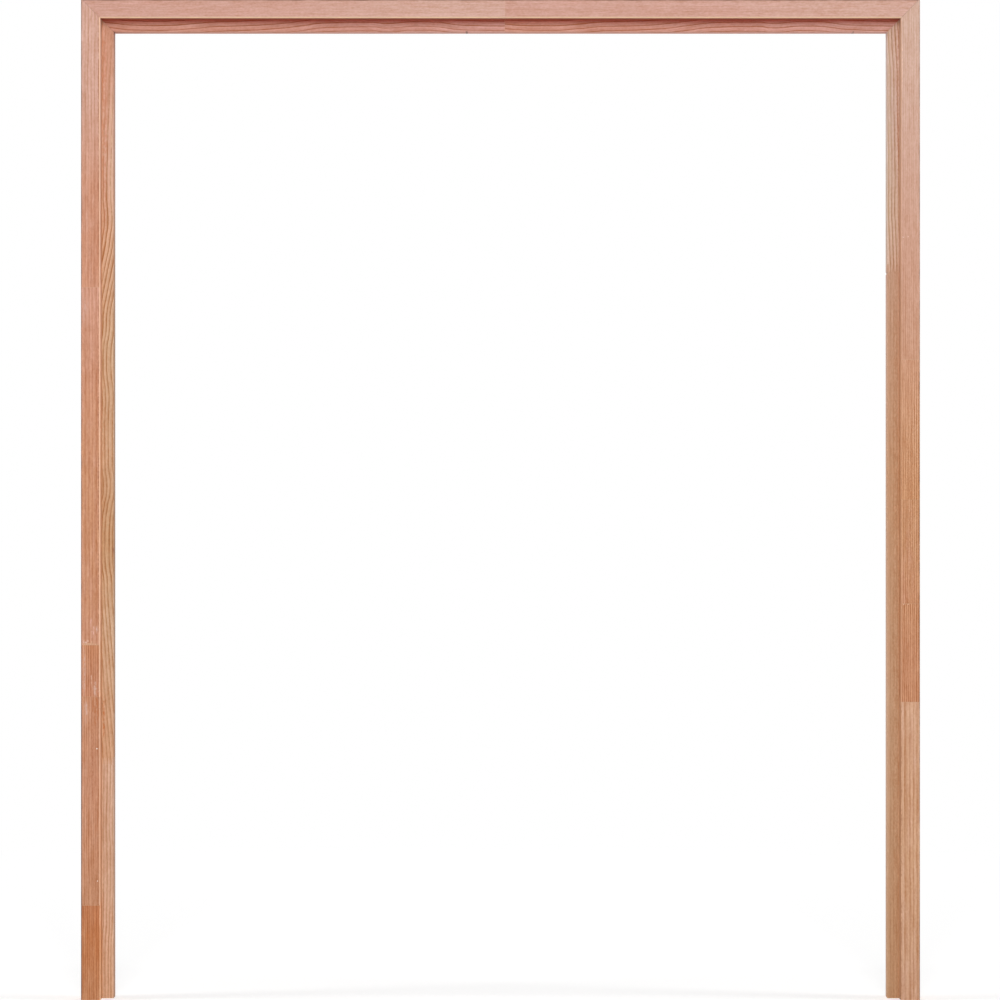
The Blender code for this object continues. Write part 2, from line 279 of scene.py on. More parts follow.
def worn_and_highlit_arrises(colour, x, y, streak, cloud, arris, arris_share, wall_arris_darkening):
    """The front layer's colour, paler along the doorway's arris from wear and a painted highlight, and
    darker along the wall's arris.
    """
    # Paler along the doorway's arris: wear, with a painted highlight on top of it
    wear_and_highlight = (0.85 + streak * 0.3 + cloud * 0.3).held() * arris_share
    rubbed_and_highlit = x.beyond(FACE_WIDTH - RUBBED_AND_HIGHLIT_WIDTH, fade=0.0010) * y.within(RUBBED_AND_HIGHLIT_DEPTH, fade=0.008)
    colour = mixed(rubbed_and_highlit * wear_and_highlight, colour, linear(arris))
    # Darker along the wall side's front arris
    darkened_width, darkened_share = wall_arris_darkening
    darkened = x.within(darkened_width, fade=0.0012) * y.within(WALL_ARRIS_DEPTH, fade=0.004)
    darkening = (darkened_share + streak * 0.5 + cloud * 0.5).held()
    return mixed(darkened * darkening, colour, linear(WALL_ARRIS_TONE))


def planed_softwood(
        node, tones, ring, contrast, turn, seed, figure=((0.0, 1.0),), wander=((0.0, 0.0), (1.0, 0.0)),
        wobble=0.0010, uneven=0.4, summer=0.5, fibre=1.0, clouds=0.45, across=0.0, blush=None,
        marks=(), arris=(255, 214, 184), arris_share=0.8, wall_arris_darkening=(0.0030, 0.56),
        corner=(0.95, 0.88, 0.76), painted_corner_depths=(0.018, 0.034), painted_shade_reach=0.004,
        edge=(0.68, 0.60, 0.58)):
    """Solid softwood for one block: growth rings round a pith line beside the section.

    Lengths are in metres, tones are sRGB, tints multiply a colour, and shares go from 0 to 1.
    tones: (place along the block, tone)
    ring, contrast: width of a ring, and how much darker its summer wood is
    turn: degrees between the face's width and the way that the rings grow
    figure: (place along, share of the contrast)
    wander: (place along, shift of the rings across the block)
    wobble, uneven, summer: how far rings stray, how their widths vary, their share of summer wood
    fibre, clouds: strength of the fine grain, and of the paler and darker clouds
    across: how much darker the block gets from the wall side to the doorway; where a stop gets darker
    towards the inside corner, this is painted shade
    blush: tone, share and seed of patches of another tone
    marks: (place along, place across, half length, half width, tone, share)
    arris, arris_share: tone and share of the front layer's arris, paler from wear and a painted
    highlight
    wall_arris_darkening: width and share of the darker stretch along the wall side's front arris
    corner: tint in the inside corner, painted shade where below 1 and painted light where above 1,
    which on the front layer's side goes from nothing to all of it between the two
    painted_corner_depths, and on the stop's face has a reach of painted_shade_reach
    edge: tint of the stop's side in the doorway, painted light where above 1 and painted shade where
    below 1
    """
    material, tree, shader = new_material(node + "_wood")
    place, length = block_place(node, tree)
    x, y, z = (place.axis(letter) for letter in "XYZ")
    share_along = (z / length).held()
    surface, width = (0.0, FACE_WIDTH) if "face" in node else (STOP_SET_BACK, STOP_WIDTH)

    # Rings: they follow the distance from the pith line, and show less away from the front
    drift = wandered(ring_drift(place, seed, wobble), share_along, length, wander)
    lean = math.radians(turn)
    middle_x, middle_y = width / 2, STOP_SET_BACK / 2 + surface
    from_x = x - drift - (middle_x - PITH_AWAY * math.cos(lean))
    from_y = y - (middle_y - PITH_AWAY * math.sin(lean))
    late = growth_rings((from_x * from_x + from_y * from_y).root(), ring, uneven, summer, seed)
    figured = share_along.ramp([(along / length, grey(share)) for along, share in figure])
    calm = (1.3 - (y - surface) / FIGURE_DEPTH).held() * 0.72 + 0.28
    strength = (noise(place, (30.0, 30.0, 9.0), seed + 3) * 0.6 + 1.0) * figured * calm

    # Fibre: long threads, streaks and short flecks, with clouds of paler and darker wood
    grain_place = place.node("ShaderNodeCombineXYZ", {}, {"X": from_x, "Y": from_y, "Z": z})
    thread = noise(grain_place, (400.0, 300.0, 8.0), seed + 29)
    streak = noise(grain_place, (400.0, 400.0, 40.0), seed + 11)
    fleck = noise(grain_place, (330.0, 330.0, 170.0), seed + 13)
    cloud = noise(grain_place, (120.0, 90.0, 20.0), seed + 23)
    broad = noise(grain_place, (60.0, 60.0, 1.3), seed + 17)
    grain = thread * 0.34 + streak * 0.42 + fleck * 0.42
    signal = late * strength * contrast + grain * fibre + cloud * clouds + broad * 0.20
    # A slope in tone across the block; where a stop gets darker towards the inside corner, it is
    # painted shade
    signal = signal + (x / middle_x - 1.0) * across

    # Colour: the block's own tone, paler or darker with the grain, then its marks, its wear, and
    # painted light and shade on its sides and in the inside corner
    colour = share_along.ramp([(along / length, linear(tone)) for along, tone in tones])
    if blush is not None:
        colour = blushed(colour, grain_place, *blush)
    colour = mixed((signal * 0.5 + 0.5).held(), colour.tinted(PALE_GRAIN), colour.tinted(DARK_GRAIN))
    colour = marked(colour, x, z, thread, streak, fleck, cloud, marks)
    if "face" in node:
        colour = worn_and_highlit_arrises(colour, x, y, streak, cloud, arris, arris_share, wall_arris_darkening)
        # On the side of the rebate: painted light where the corner tint is above 1, painted shade where
        # it is below
        clear, full = painted_corner_depths
        on_side = x.beyond(FACE_WIDTH - FACE_SIDE, fade=0.0004)
        inside = on_side * y.beyond(clear, fade=full - clear)
    else:
        # The stop's side in the doorway: painted light where the edge tint is above 1, painted shade
        # where it is below
        on_side = x.beyond(STOP_WIDTH - STOP_SIDE, fade=0.0004)
        colour = mixed(on_side, colour, colour.tinted(edge))
        # The stop's face by the inside corner: painted shade
        painted_corner_shade = x.within(FACE_WIDTH + painted_shade_reach, fade=painted_shade_reach)
        inside = painted_corner_shade * y.within(STOP_SET_BACK + PAINTED_SHADE_DEPTH, fade=0.004)
    colour = mixed(inside, colour, colour.tinted(corner))

    # End grain at the feet takes more of the light in, so it is darker
    normal = Strand(tree).node("ShaderNodeNewGeometry", {}, {}, give="Normal")
    facing = normal.axis("X" if node.startswith("head") else "Z").size()
    end_grain = facing.beyond(0.8, fade=0.125)
    colour = mixed(end_grain * 0.5, colour, linear(END_GRAIN_TONE))
    colour.into(shader, "Base Color")

    # Surface: planed and matt, smoother and a little raised where the summer wood is
    (0.62 + grain * 0.08 - late * 0.10).held().into(shader, "Roughness")
    shader.inputs["Specular IOR Level"].default_value = 0.2
    relief = late * 0.35 + grain * 0.5
    bump = relief.node("ShaderNodeBump", {}, {"Height": relief, "Strength": 0.35, "Distance": 0.0003})
    bump.into(shader, "Normal")
    dress(node, material)


planed_softwood(
    "left_jamb_face_block_1", ring=0.0047, contrast=0.85, turn=10, seed=3.1,
    tones=[(0.0, (188, 126, 86)), (0.12, (188, 116, 70)), (0.2, (186, 116, 76))],
    blush=((196, 146, 112), 0.35, 4.0), arris_share=0.08, wall_arris_darkening=(0.0030, 0.90),
    corner=(1.72, 2.35, 2.90), painted_corner_depths=(0.030, 0.012),
    marks=[(0.175, 0.0392, 0.030, 0.0008, (250, 196, 158), 0.4)])
planed_softwood(
    "left_jamb_face_block_2", ring=0.0048, contrast=0.85, turn=8, seed=5.7,
    tones=[(0.0, (192, 136, 103)), (0.12, (193, 133, 99)), (0.26, (196, 137, 106)),
           (0.44, (191, 131, 97))],
    across=0.12, blush=((205, 158, 134), 0.45, 9.0), arris_share=0.45, wall_arris_darkening=(0.0030, 0.85),
    corner=(1.30, 1.34, 1.26), painted_corner_depths=(0.030, 0.012),
    marks=[(0.40, 0.010, 0.030, 0.006, (212, 170, 152), 0.8),
           (0.31, 0.0245, 0.12, 0.0012, (172, 104, 74), 0.6),
           (0.405, 0.031, 0.035, 0.009, (184, 114, 74), 0.8),
           (0.3265, 0.0334, 0.0018, 0.0018, (255, 250, 240), 1.0),
           (0.0505, 0.0345, 0.0014, 0.0014, (250, 240, 226), 0.9)])
planed_softwood(
    "left_jamb_face_block_3", ring=0.0046, contrast=1.15, turn=6, seed=8.3,
    tones=[(0.0, (196, 133, 101)), (0.05, (193, 133, 101)), (0.108, (194, 131, 94))],
    across=0.18, blush=((184, 112, 70), 0.4, 1.0),
    corner=(1.18, 1.22, 1.08), painted_corner_depths=(0.034, 0.014),
    marks=[(0.022, 0.031, 0.022, 0.008, (212, 170, 150), 0.85),
           (0.036, 0.0215, 0.018, 0.0016, (224, 186, 164), 0.9),
           (0.055, 0.0060, 0.060, 0.0045, (212, 166, 146), 0.8)])
planed_softwood(
    "left_jamb_face_block_4", ring=0.0080, contrast=0.60, turn=9, seed=11.9,
    tones=[(0.0, (198, 140, 111)), (0.10, (198, 139, 104)), (0.36, (198, 139, 103)),
           (0.56, (199, 139, 108)), (0.74, (203, 146, 121))],
    blush=((212, 160, 140), 0.40, 2.0), corner=(1.12, 1.10, 1.00), painted_corner_depths=(0.034, 0.014),
    marks=[(0.705, 0.010, 0.045, 0.009, (214, 168, 150), 0.6),
           (0.023, 0.0225, 0.009, 0.0040, (224, 176, 160), 0.8),
           (0.033, 0.0335, 0.010, 0.0030, (230, 194, 180), 0.8),
           (0.046, 0.0215, 0.014, 0.0038, (220, 168, 150), 0.7),
           (0.030, 0.0270, 0.010, 0.0034, (224, 176, 160), 0.8),
           (0.016, 0.0290, 0.008, 0.0034, (224, 176, 158), 0.7),
           (0.0066, 0.0055, 0.0034, 0.0020, (238, 208, 190), 1.0),
           (0.0052, 0.0102, 0.0026, 0.0022, (240, 210, 192), 1.0),
           (0.0082, 0.0142, 0.0030, 0.0020, (230, 190, 168), 1.0),
           (0.0060, 0.0222, 0.0026, 0.0018, (222, 178, 146), 0.8),
           (0.0062, 0.0292, 0.0022, 0.0018, (222, 178, 146), 0.7),
           (0.0015, 0.020, 0.0022, 0.020, (216, 174, 140), 0.9),
           (0.38, 0.0362, 0.45, 0.0016, (158, 96, 68), 0.5)])
planed_softwood(
    "left_jamb_face_block_5", ring=0.0076, contrast=0.50, turn=12, seed=14.2,
    tones=[(0.0, (200, 139, 109)), (0.20, (199, 140, 112)), (0.38, (205, 157, 137)),
           (0.52, (208, 163, 145)), (0.60, (203, 156, 137))],
    across=0.08, blush=((216, 172, 156), 0.35, 6.0), arris_share=0.85, wall_arris_darkening=(0.0030, 0.75),
    marks=[(0.30, 0.0362, 0.40, 0.0016, (166, 104, 76), 0.45)])


# Left jamb, stop layer. Two long blocks, 65 x 44 mm, whose 25 mm past the front layer is the face that
# the leaf closes on. The long upper one was sawn beside a knot, and its rings sweep across it. Painted
# shade darkens their side in the doorway and their face by the inside corner.

planed_softwood(
    "left_jamb_stop_block_1", ring=0.0066, contrast=1.00, turn=10, seed=21.5, across=-0.04,
    tones=[(0.0, (209, 162, 128)), (0.25, (211, 169, 140)), (0.49, (210, 169, 141))],
    wander=[(0.0, -0.0052), (0.10, -0.0046), (0.15, -0.0019), (0.22, -0.0006), (0.27, 0.0),
            (0.35, -0.0015), (0.42, 0.0), (0.487, 0.0004)])
planed_softwood(
    "left_jamb_stop_block_2", ring=0.0074, contrast=1.90, turn=20, seed=24.8,
    tones=[(0.0, (210, 162, 126)), (0.30, (208, 171, 138)), (0.46, (195, 151, 111)),
           (0.66, (206, 165, 131)), (0.88, (203, 164, 129)), (1.10, (208, 161, 128)),
           (1.28, (211, 168, 144)), (1.53, (209, 156, 130))],
    across=0.03, wobble=0.0008, uneven=0.25,
    figure=[(0.0, 0.52), (0.33, 0.62), (0.52, 0.68), (0.92, 0.68), (0.98, 1.0), (1.12, 1.0),
            (1.19, 0.70), (1.36, 0.48), (1.44, 0.20), (1.56, 0.12)],
    wander=[(0.0, 0.0346), (0.060, 0.0300), (0.136, 0.0230), (0.236, 0.0149), (0.337, 0.0071),
            (0.387, 0.0046), (0.437, 0.0), (0.4875, 0.0002), (0.546, 0.0054), (0.588, 0.0109),
            (0.6236, 0.0071), (0.739, 0.0075), (0.764, 0.0084), (0.8394, 0.0027),
            (0.9148, 0.0096), (0.940, 0.0105), (0.9734, 0.0157), (1.049, 0.0308),
            (1.1075, 0.0411), (1.141, 0.0438), (1.191, 0.0413), (1.392, 0.0457), (1.53, 0.053)],
    marks=[(1.36, 0.0455, 0.27, 0.0070, (205, 134, 100), 0.4),
           (1.27, 0.0600, 0.15, 0.0035, (226, 192, 162), 0.7),
           (0.10, 0.0440, 0.05, 0.0024, (198, 122, 74), 0.8),
           (0.45, 0.0635, 0.010, 0.0022, (150, 92, 62), 0.6),
           (1.510, 0.0585, 0.0022, 0.0030, (236, 190, 154), 0.8)])


# Right jamb, front layer. Five blocks again, pale pink at the top, then orange-tan, and at the third
# joint from the floor a strongly orange-red one that ends against a pale, wide-ringed foot block.
# Painted shade darkens the side of the rebate on all five.

# Painted shade on the side of the rebate, and a narrower darker stretch along the wall side's arris
RIGHT_SIDE = {"corner": (0.83, 0.74, 0.62), "painted_corner_depths": (0.060, 0.020), "wall_arris_darkening": (0.0022, 0.75)}

planed_softwood(
    "right_jamb_face_block_1", ring=0.0088, contrast=0.80, turn=14, seed=31.3, **RIGHT_SIDE,
    tones=[(0.0, (196, 149, 118)), (0.25, (200, 152, 117)), (0.62, (202, 154, 122))],
    blush=((210, 166, 146), 0.30, 5.0), arris_share=0.05,
    marks=[(0.32, 0.0388, 0.36, 0.0014, (160, 110, 80), 0.5)])
planed_softwood(
    "right_jamb_face_block_2", ring=0.0044, contrast=1.50, turn=5, seed=33.9, **RIGHT_SIDE,
    tones=[(0.0, (190, 130, 94)), (0.10, (192, 134, 99)), (0.2, (192, 135, 98))], arris_share=0.3,
    marks=[(0.2045, 0.0350, 0.0026, 0.0022, (228, 184, 154), 0.9),
           (0.2050, 0.0248, 0.0030, 0.0018, (228, 184, 154), 0.8)])
planed_softwood(
    "right_jamb_face_block_3", ring=0.0044, contrast=1.50, turn=8, seed=36.4, **RIGHT_SIDE,
    tones=[(0.0, (190, 132, 94)), (0.12, (194, 140, 102)), (0.217, (194, 140, 102))],
    blush=((206, 152, 130), 0.35, 3.0), arris_share=0.25)
planed_softwood(
    "right_jamb_face_block_4", ring=0.0044, contrast=1.65, turn=7, seed=38.6, **RIGHT_SIDE,
    tones=[(0.0, (194, 138, 98)), (0.14, (198, 145, 109)), (0.29, (201, 149, 119))],
    figure=[(0.0, 1.0), (0.19, 1.0), (0.30, 0.45)], arris_share=0.25)
planed_softwood(
    "right_jamb_face_block_5", ring=0.0043, contrast=0.45, turn=10, seed=41.2, **RIGHT_SIDE,
    tones=[(0.0, (199, 149, 121)), (0.20, (202, 154, 131)), (0.42, (204, 161, 141)),
           (0.72, (205, 168, 149))],
    figure=[(0.0, 1.6), (0.12, 1.0)], fibre=0.8, clouds=0.2, arris_share=0.2,
    marks=[(0.256, 0.0345, 0.0020, 0.0024, (236, 208, 192), 0.9),
           (0.257, 0.0252, 0.0018, 0.0022, (232, 200, 184), 0.8),
           (0.62, 0.0366, 0.09, 0.0014, (244, 206, 186), 0.6)])


# Right jamb, stop layer. A long plain block with hardly any figure, and above it a quarter-sawn one
# with bold straight stripes, whose last 13 mm over the joint show the fingers end on. Painted light
# brightens their side in the doorway, and painted shade darkens their face towards the inside corner.

planed_softwood(
    "right_jamb_stop_block_1", ring=0.0070, contrast=0.34, turn=24, seed=51.7,
    tones=[(0.0, (187, 142, 105)), (0.55, (194, 152, 118)), (1.1, (193, 147, 111)),
           (1.52, (194, 152, 125))],
    across=-0.16, clouds=0.2, edge=(1.10, 1.09, 1.18), corner=(1.0, 0.94, 0.88),
    marks=[(0.75, 0.0475, 0.85, 0.0075, (178, 126, 84), 0.35),
           (0.80, 0.0625, 0.85, 0.0032, (208, 164, 136), 0.35)])
planed_softwood(
    "right_jamb_stop_block_2", ring=0.00683, contrast=1.25, turn=20, seed=54.1,
    tones=[(0.0, (196, 157, 132)), (0.14, (199, 165, 142)), (0.34, (199, 166, 148)),
           (0.57, (202, 165, 143))],
    across=-0.20, uneven=0.15, wobble=0.0005, edge=(1.04, 1.10, 1.18), corner=(1.0, 0.94, 0.88),
    figure=[(0.0, 1.30), (0.08, 1.15), (0.20, 1.0)],
    wander=[(0.0, 0.0011), (0.041, 0.0025), (0.108, 0.0048), (0.142, 0.0057), (0.192, 0.0050),
            (0.309, 0.0066), (0.359, 0.0078), (0.41, 0.0080), (0.443, 0.0098), (0.477, 0.0118),
            (0.567, 0.0141)],
    marks=[(0.485, 0.0560, 0.013, 0.0016, (120, 78, 60), 0.7),
           (0.28, 0.0610, 0.32, 0.0050, (206, 180, 148), 0.45),
           (0.38, 0.0430, 0.22, 0.0036, (178, 118, 94), 0.4)])


# Head, front layer. Two pink blocks that meet near the doorway's middle, with very fine grain along
# them. The lower front arris is rubbed down to bare, cream wood from end to end, and a painted
# highlight makes it paler still. Painted shade darkens the layer's underside in the rebate, and the top
# arris is darker.

for node, seed in (("head_face_block_1", 61.3), ("head_face_block_2", 64.8)):
    planed_softwood(
        node, ring=0.0036, contrast=0.12, turn=14, seed=seed,
        tones=[(0.0, (203, 155, 139)), (0.45, (204, 156, 140)), (0.72, (208, 165, 149)),
               (0.87, (208, 165, 150))],
        clouds=0.12, blush=((206, 146, 128), 0.20, 8.0), arris=(240, 208, 168), arris_share=1.0,
        wall_arris_darkening=(0.0052, 0.56), corner=(0.64, 0.27, 0.17), painted_corner_depths=(0.004, 0.020))


# Head, stop layer. Two flat-sawn red-brown blocks with long dark sweeps of summer wood. The nicks in
# their lower front arris lie where a small knot broke out under the plane. Painted shade darkens their
# face just under the front layer, and painted light brightens their underside in the doorway.

SWEEP = [(0.0, 0.003), (0.07, 0.0), (0.15, 0.0035), (0.20, 0.0078), (0.255, 0.0092), (0.33, 0.0134),
         (0.38, 0.0190), (0.445, 0.0255), (0.53, 0.0264), (0.555, 0.0238), (0.615, 0.0278),
         (0.645, 0.0276), (0.68, 0.0246), (0.71, 0.0208), (0.76, 0.0190), (0.87, 0.0188)]
LEFT_TONES = [(0.0, (200, 140, 118)), (0.45, (196, 137, 118)), (0.87, (201, 146, 131))]
RIGHT_TONES = [(0.0, (203, 144, 124)), (0.45, (198, 139, 121)), (0.87, (206, 153, 138))]

for node, offset, seed, tones in (("head_stop_block_1", 0.079, 71.3, LEFT_TONES),
                                  ("head_stop_block_2", 0.005, 74.8, RIGHT_TONES)):
    planed_softwood(
        node, tones=tones, ring=0.0094, contrast=2.10, turn=16, seed=seed,
        uneven=0.2, wobble=0.0006, summer=0.20,
        corner=(0.90, 0.42, 0.34), painted_shade_reach=0.010, edge=(1.36, 1.36, 1.36),
        wander=[(along + offset, -rise) for along, rise in SWEEP],
        marks=[(0.7250 + offset, 0.0656, 0.0030, 0.0015, (104, 58, 50), 0.9)])


# Glue. White wood glue, dried to a cream film, fills every finger joint and the plane between the two
# layers. Each film keeps just inside the wood, so that only its edge shows in the joint's line.

GLUE_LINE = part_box("left_jamb_stop_block_1")[0].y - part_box("left_jamb_face_block_1")[1].y
FILM = 0.8 * GLUE_LINE
FILM_INSET = 0.0001

# The fingers' pitch, blunt tips and shoulders, and the arrises, as the CAD has them
FINGER_PITCH = 0.0038
FINGER_TIP = 0.0006
LEAST_SHOULDER = 0.003
ARRIS = 0.002

# Sizes and places that follow from the frame
FINGERS_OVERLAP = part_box("left_jamb_face_block_1")[1].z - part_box("left_jamb_face_block_2")[0].z
FINGER_LENGTH = FINGERS_OVERLAP + GLUE_LINE
STOP_FRONT = FRONT + STOP_SET_BACK
STOP_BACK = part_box("left_jamb_stop_block_1")[1].y
STOP_DEPTH = STOP_BACK - STOP_FRONT
FACE_BACK = STOP_FRONT - GLUE_LINE
FACE_REACH = FACE_WIDTH - 2 * FILM_INSET
STOP_REACH = STOP_WIDTH - 2 * FILM_INSET
SPAN = -2 * WALL_SIDE

glue, tree, shader = new_material("dried_glue")
start = object_place(tree)
pooled = noise(start, (260.0, 260.0, 260.0), 4.0)
skin = noise(start, (1500.0, 1500.0, 1500.0), 9.0)
thickness = (pooled * 0.9 + skin * 0.3 + 0.5).held()
mixed(thickness, linear((228, 204, 166)), linear((196, 156, 116))).into(shader, "Base Color")
(0.45 + skin * 0.15).held().into(shader, "Roughness")


def finger_moves(width, across_way):
    """Moves that draw a finger joint's line across a layer, from its low shoulder to its high one."""
    half_pitch = FINGER_PITCH / 2
    flank = half_pitch - FINGER_TIP
    flank_count = max(1, int((width - 2 * LEAST_SHOULDER) / half_pitch))
    flank_count -= 1 - flank_count % 2
    shoulder = (width - flank_count * half_pitch) / 2 - FILM_INSET
    moves = [(shoulder, 0.0)]
    for turn in range(1, flank_count + 1):
        moves += [(flank, FINGER_LENGTH if turn % 2 else -FINGER_LENGTH), (FINGER_TIP, 0.0)]
    moves[-1] = (FINGER_TIP + shoulder, 0.0)
    return [Vector(across_way) * across + Vector((0.0, 0.0, along)) for across, along in moves]


def drawn_film(name, corner, moves, sweeps, cuts):
    """A glue film: a point drawn along a line, and the line drawn to the film's thickness and across
    the layer. What lies behind each cut, given as a point and the way it faces, is taken off."""
    bpy.ops.object.select_all(action="DESELECT")
    bpy.ops.mesh.primitive_plane_add(size=FILM, location=corner)
    film = bpy.context.object
    film.name = name
    bpy.ops.object.transform_apply(location=True, rotation=True, scale=True)
    bpy.ops.object.mode_set(mode="EDIT")
    bpy.ops.mesh.select_all(action="SELECT")
    bpy.ops.mesh.merge(type="CENTER")
    bpy.ops.mesh.select_all(action="SELECT")
    for move in moves:
        bpy.ops.mesh.extrude_region_move(TRANSFORM_OT_translate={"value": move})
    for sweep in sweeps:
        bpy.ops.mesh.select_all(action="SELECT")
        bpy.ops.mesh.extrude_region_move(TRANSFORM_OT_translate={"value": sweep})
    bpy.ops.mesh.select_all(action="SELECT")
    bpy.ops.mesh.normals_make_consistent(inside=False)
    for point, facing in cuts:
        bpy.ops.mesh.select_all(action="SELECT")
        bpy.ops.mesh.bisect(plane_co=point, plane_no=facing, use_fill=True, clear_inner=True)
    bpy.ops.object.mode_set(mode="OBJECT")
    film.data.materials.append(glue)
    return film


def on_jamb(side, level):
    """Where a film drawn for the left jamb goes at this level of a jamb, mirrored for the right one."""
    hand = 1.0 if side == "left" else -1.0
    return Matrix.Translation((hand * WALL_SIDE, 0.0, level)) @ Matrix.Diagonal((hand, 1.0, 1.0, 1.0))


def on_head(along):
    """Where a film goes in the head, turned on its side, at this place along it."""
    return Matrix.Translation((along, 0.0, TOP)) @ Matrix.Rotation(math.pi / 2, 4, "Y")


def placed_copy(film, name, placement):
    """A copy of a film, with its own mesh, whose faces still point outwards where it is mirrored."""
    copy = bpy.data.objects.new(name, film.data.copy())
    copy.data.transform(placement)
    if placement.is_negative:
        copy.data.flip_normals()
    bpy.context.scene.collection.objects.link(copy)
    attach(copy, "root")


stop_arrises = [
    ((STOP_WIDTH - ARRIS, STOP_FRONT, 0.0), (-1.0, 1.0, 0.0)),
    ((STOP_WIDTH - ARRIS, STOP_BACK, 0.0), (-1.0, -1.0, 0.0)),
    ((ARRIS, STOP_BACK, 0.0), (1.0, -1.0, 0.0))]
face_film = drawn_film(
    "face_film", (FILM_INSET, FRONT + FILM_INSET, -FILM / 2),
    finger_moves(FACE_BACK - FRONT, (0.0, 1.0, 0.0)),
    [(0.0, 0.0, FILM), (FACE_REACH, 0.0, 0.0)],
    [((ARRIS, FRONT, 0.0), (1.0, 1.0, 0.0)), ((FACE_WIDTH - ARRIS, FRONT, 0.0), (-1.0, 1.0, 0.0))])
jamb_stop_film = drawn_film(
    "jamb_stop_film", (FILM_INSET, STOP_FRONT + FILM_INSET, -FILM / 2),
    finger_moves(STOP_WIDTH, (1.0, 0.0, 0.0)),
    [(0.0, 0.0, FILM), (0.0, STOP_DEPTH - 2 * FILM_INSET, 0.0)], stop_arrises)
head_stop_film = drawn_film(
    "head_stop_film", (FILM_INSET, STOP_FRONT + FILM_INSET, -FILM / 2),
    finger_moves(STOP_DEPTH, (0.0, 1.0, 0.0)),
    [(0.0, 0.0, FILM), (STOP_REACH, 0.0, 0.0)], stop_arrises)

for side in ("left", "right"):
    for layer, film in (("face", face_film), ("stop", jamb_stop_film)):
        number = 2
        while f"{side}_jamb_{layer}_block_{number}" in nodes:
            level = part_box(f"{side}_jamb_{layer}_block_{number}")[0].z - GLUE_LINE / 2
            placed_copy(film, f"{side}_jamb_{layer}_glue_{number - 1}", on_jamb(side, level))
            number += 1
for layer, film in (("face", face_film), ("stop", head_stop_film)):
    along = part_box(f"head_{layer}_block_2")[0].x - GLUE_LINE / 2
    placed_copy(film, f"head_{layer}_glue_1", on_head(along))

# Between the two layers of each member: one flat film, mitred with them
layer_corner = (FILM_INSET, FACE_BACK + (GLUE_LINE - FILM) / 2, FILM_INSET)
jamb_layer_film = drawn_film(
    "jamb_layer_film", layer_corner, [(FACE_REACH, 0.0, 0.0)],
    [(0.0, 0.0, TOP - 2 * FILM_INSET), (0.0, FILM, 0.0)],
    [((0.0, 0.0, TOP - GLUE_LINE), (-1.0, 0.0, -1.0))])
head_layer_film = drawn_film(
    "head_layer_film", layer_corner, [(FACE_REACH, 0.0, 0.0)],
    [(0.0, 0.0, SPAN - 2 * FILM_INSET), (0.0, FILM, 0.0)],
    [((0.0, 0.0, GLUE_LINE), (-1.0, 0.0, 1.0)), ((0.0, 0.0, SPAN - GLUE_LINE), (-1.0, 0.0, -1.0))])
placed_copy(jamb_layer_film, "left_jamb_layer_glue", on_jamb("left", 0.0))
placed_copy(jamb_layer_film, "right_jamb_layer_glue", on_jamb("right", 0.0))
placed_copy(head_layer_film, "head_layer_glue", on_head(WALL_SIDE))
for film in (face_film, jamb_stop_film, head_stop_film, jamb_layer_film, head_layer_film):
    bpy.data.objects.remove(film)


# Corner fixings. Pressed-fluted beech dowels across each mitre, and yellow zinc screws down through the
# head, all made as the CAD has them and out of sight but for the screws' heads on the top edge.

def fluted_beech(node):
    """Pale beech with fine flecks and soft bands, matt all over."""
    material, tree, shader = new_material(node + "_beech")
    start = object_place(tree)
    fleck = noise(start, (900.0, 900.0, 900.0), 3.0)
    band = noise(start, (60.0, 200.0, 60.0), 5.0)
    shade = (fleck * 0.4 + band * 0.5 + 0.5).held()
    mixed(shade, linear((214, 184, 144)), linear((176, 138, 98))).into(shader, "Base Color")
    shader.inputs["Roughness"].default_value = 0.6
    dress(node, material)


def yellow_zinc(node):
    """Yellow zinc plating, which shifts between straw and a redder gold."""
    material, tree, shader = new_material(node + "_zinc")
    sheen = noise(object_place(tree), (400.0, 400.0, 400.0), 7.0)
    shade = (sheen * 0.8 + 0.5).held()
    mixed(shade, linear((206, 190, 130)), linear((188, 160, 120))).into(shader, "Base Color")
    (0.32 + sheen * 0.10).held().into(shader, "Roughness")
    shader.inputs["Metallic"].default_value = 1.0
    dress(node, material)


for node in nodes:
    if "dowel" in node:
        fluted_beech(node)
    elif "screw" in node:
        yellow_zinc(node)


# Floor, light and camera. The frame stands free on a plain pale floor, which keeps its soft shadow near
# the feet and fades to white farther out. Soft light comes from in front and a little above, as it does
# in the photograph, and the camera is level with the frame's middle.

# The floor's size, paint and glow, and how far out its shading reaches before it fades to white
WHITE = (1.0, 1.0, 1.0, 1.0)
FLOOR_SIZE = 60.0
FLOOR_COLOUR = (0.75, 0.75, 0.75, 1.0)
FLOOR_GLOW = 0.46
SHADING_REACH = 2.0
SHADING_FADE = 2.5
ROOM_LIGHT = 0.25

# The camera's place, how much of the frame's front its picture takes in, and its sensor in mm
CAMERA_AWAY = 10.4
CAMERA_ASIDE = -0.001
CAMERA_LEVEL = 1.0435
PICTURE_WIDTH = 2.0857
SENSOR = 36.0
FAR_LIMIT = 200.0


def looked_at(tree):
    """1 for rays that show this to the camera, straight, in a reflection or through glass, else 0."""
    camera_ray, glossy_ray, transmission_ray = (
        Strand(tree).node("ShaderNodeLightPath", {}, {}, give=f"Is {kind} Ray")
        for kind in ("Camera", "Glossy", "Transmission"))
    return (camera_ray + glossy_ray + transmission_ray).held()


def soft_panel(name, place, target, wide, high, power):
    """A soft rectangular panel of light that the camera doesn't see."""
    lamp = bpy.data.lights.new(name, "AREA")
    lamp.shape = "RECTANGLE"
    lamp.size = wide
    lamp.size_y = high
    lamp.energy = power
    panel = bpy.data.objects.new(name, lamp)
    panel.location = place
    panel.rotation_euler = (Vector(target) - Vector(place)).to_track_quat("-Z", "Y").to_euler()
    panel.visible_camera = False
    bpy.context.scene.collection.objects.link(panel)


